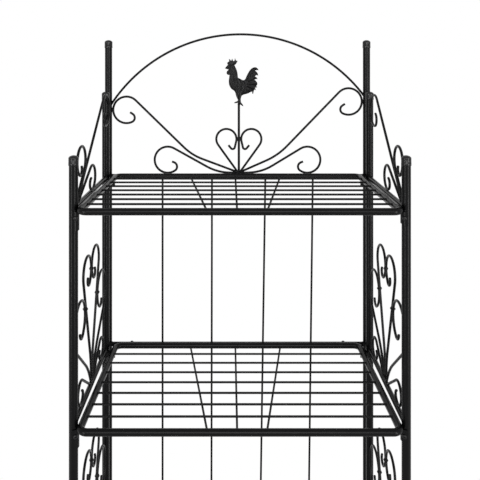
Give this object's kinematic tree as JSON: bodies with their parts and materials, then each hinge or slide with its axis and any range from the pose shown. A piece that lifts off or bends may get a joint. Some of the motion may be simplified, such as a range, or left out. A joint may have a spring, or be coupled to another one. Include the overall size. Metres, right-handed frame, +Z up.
{
  "type": "plant stand",
  "caption": "Tall black metal plant stand with wire shelves, scrollwork sides and an arched scroll back panel with a rooster silhouette.",
  "frame": {"origin": "on the floor, in the middle of the footprint's bounding box", "axes": "+Z up, -Y towards the front, +X to the right seen from the front"},
  "size_m": [0.603, 0.3415, 1.5715],
  "materials": {
    "metal": "semi-gloss black powder coat",
    "caps": "black moulded plastic, slightly shiny",
    "screws": "black coated steel"
  },
  "bodies": {
    "root": {"left_front_post": "metal", "right_front_post": "metal", "left_rear_post": "metal", "right_rear_post": "metal", "left_panel_post": "metal", "right_panel_post": "metal", "post_caps": "caps", "feet": "caps", "left_side_rails": "metal", "right_side_rails": "metal", "shelf_frame_1": "metal", "shelf_frame_2": "metal", "shelf_frame_3": "metal", "shelf_frame_4": "metal", "shelf_wires_1": "metal", "shelf_wires_2": "metal", "shelf_wires_3": "metal", "shelf_wires_4": "metal", "shelf_cross_wires_1": "metal", "shelf_cross_wires_2": "metal", "shelf_cross_wires_3": "metal", "shelf_cross_wires_4": "metal", "shelf_brackets_1": "metal", "shelf_brackets_2": "metal", "shelf_brackets_3": "metal", "shelf_brackets_4": "metal", "shelf_screws": "screws", "panel_crossbars": "metal", "back_wires": "metal", "panel_screws": "screws", "arch": "metal", "left_big_scroll": "metal", "right_big_scroll": "metal", "left_small_scroll": "metal", "right_small_scroll": "metal", "left_heart_scroll": "metal", "right_heart_scroll": "metal", "rooster_stem": "metal", "rooster": "metal", "left_side_scrolls_1": "metal", "left_side_scrolls_2": "metal", "left_side_scrolls_3": "metal", "right_side_scrolls_1": "metal", "right_side_scrolls_2": "metal", "right_side_scrolls_3": "metal", "left_top_slope": "metal", "right_top_slope": "metal", "left_top_upper": "metal", "right_top_upper": "metal", "left_top_lower": "metal", "right_top_lower": "metal"}
  },
  "joints": []
}
